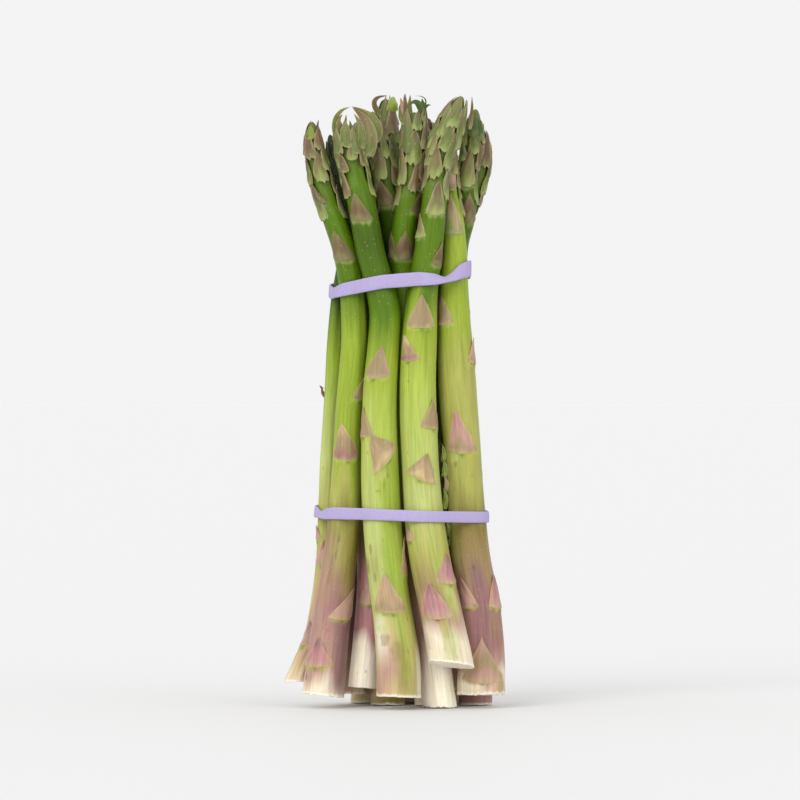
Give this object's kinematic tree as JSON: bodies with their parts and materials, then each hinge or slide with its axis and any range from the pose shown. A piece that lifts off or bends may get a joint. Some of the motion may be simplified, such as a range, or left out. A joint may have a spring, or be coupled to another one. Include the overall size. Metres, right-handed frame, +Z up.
{
  "type": "bundle of asparagus",
  "caption": "Upright bundle of green asparagus spears with pinkish feet and scaly tips, standing on its cut ends and held by flat lilac rubber bands.",
  "frame": {"origin": "on the surface the bundle stands on, under the middle of its box", "axes": "+Z up along the spears towards their tips, -Y towards the front of the bundle, +X to its right"},
  "size_m": [0.0792, 0.0671, 0.219],
  "materials": {
    "asparagus": "waxy plant skin with a soft gloss: green tips, yellow-green stems, purple-pink scale leaves, cream feet",
    "rubber_band": "matt lilac rubber"
  },
  "bodies": {
    "root": {"spear_front_left": "asparagus", "spear_front_mid_left": "asparagus", "spear_front_mid_right": "asparagus", "spear_front_right": "asparagus", "spear_left_thin": "asparagus", "spear_mid_left": "asparagus", "spear_mid_front": "asparagus", "spear_mid_centre": "asparagus", "spear_mid_right": "asparagus", "spear_short_inner": "asparagus", "spear_back_right": "asparagus", "spear_back_far_right": "asparagus", "spear_back_mid_right": "asparagus", "spear_back_mid_left": "asparagus", "spear_back_left": "asparagus", "band_lower": "rubber_band", "band_upper": "rubber_band"}
  },
  "joints": []
}
